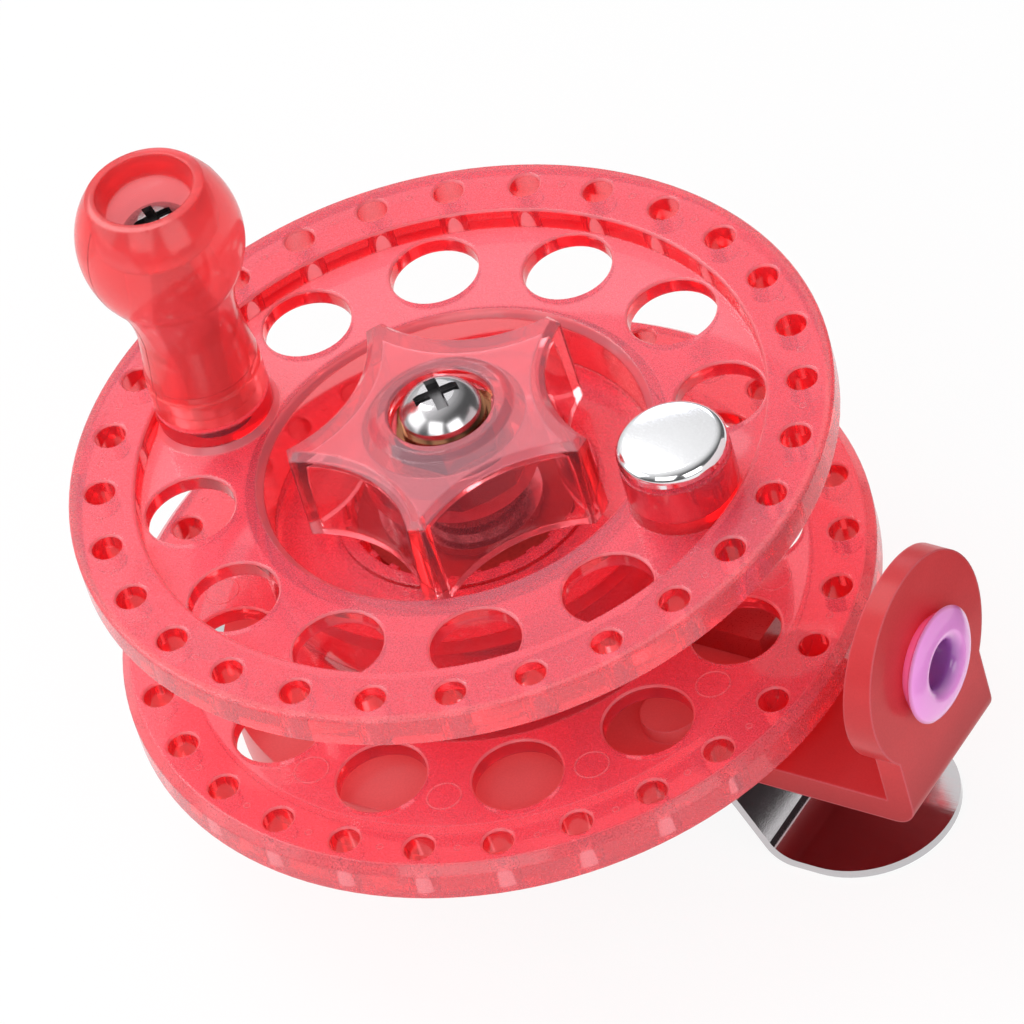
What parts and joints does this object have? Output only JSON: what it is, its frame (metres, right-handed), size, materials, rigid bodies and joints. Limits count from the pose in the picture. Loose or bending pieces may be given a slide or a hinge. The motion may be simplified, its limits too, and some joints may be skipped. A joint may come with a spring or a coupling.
{
  "type": "fishing reel",
  "caption": "Clear red side-cast fishing reel: pierced spool with crank knob, counterweight and star drag on a base with a line guide arm and a sheet foot.",
  "frame": {"origin": "on the spool's axis, in the plane that the undersides of the foot's two tongues lie in", "axes": "+Z along the spool's axis, from the foot towards the crank knob; +X along the rod, out through the line guide's eye; +Y completes a right-handed set"},
  "size_m": [0.0861, 0.065, 0.0574],
  "materials": {
    "red_clear": "clear red moulded plastic, gloss with fine satin texture on the flanges",
    "red_satin": "clear red moulded plastic with a satin face",
    "guide_pink": "lilac pink glazed ring, gloss",
    "stainless": "polished stainless sheet and turned steel",
    "chrome": "bright chrome plate",
    "brass": "plain turned brass",
    "spring_steel": "dark spring steel",
    "friction": "matt friction washer",
    "click_plastic": "satin red acetal"
  },
  "bodies": {
    "frame": {"frame_base": "red_satin", "line_guide_ring": "guide_pink", "rod_foot": "stainless", "foot_screws": "stainless", "axle_post": "stainless", "axle_shim": "brass", "bearing_spacer": "brass", "lower_bearing_inner_ring": "stainless", "upper_bearing_inner_ring": "stainless", "keyed_drag_washer": "stainless", "retaining_screw": "chrome", "retaining_washer": "brass"},
    "spool": {"spool_lower_half": "red_clear", "spool_upper_half": "red_clear", "lower_bearing_outer_ring": "stainless", "upper_bearing_outer_ring": "stainless", "lower_friction_washer": "friction", "eared_drag_washer": "stainless", "upper_friction_washer": "friction", "crank_bush": "stainless", "crank_screw": "chrome", "crank_washer": "stainless", "counterweight": "chrome"},
    "crank": {"crank_knob": "red_clear"},
    "drag_plate": {"pressure_washer": "stainless", "disc_springs": "spring_steel"},
    "star": {"star_knob": "red_clear", "star_knob_insert": "brass"},
    "click": {"click_slide": "click_plastic", "click_screw": "stainless"}
  },
  "joints": [
    {"name": "spool_turn", "type": "hinge", "parent": "frame", "child": "spool", "pos_m": [0, 0, 0.02], "axis": [0, 0, 1], "continuous": true},
    {"name": "crank_knob_turn", "type": "hinge", "parent": "spool", "child": "crank", "pos_m": [-0.0225, -0.0021, 0.045], "axis": [0, 0, 1], "continuous": true},
    {"name": "star_knob_turn", "type": "hinge", "parent": "drag_plate", "child": "star", "pos_m": [0, 0, 0.032], "axis": [0, 0, 1], "range_deg": [-270, 0]},
    {"name": "drag_travel", "type": "slide", "parent": "frame", "child": "drag_plate", "axis": [0, 0, 1], "range_m": [-0.000375, 0]},
    {"name": "click_travel", "type": "slide", "parent": "frame", "child": "click", "axis": [1, 0, 0], "range_m": [-0.0009, 0]}
  ],
  "couplings": [
    {"joint": "star_knob_turn", "follows": "drag_travel", "rad_per_m": 12566}
  ]
}
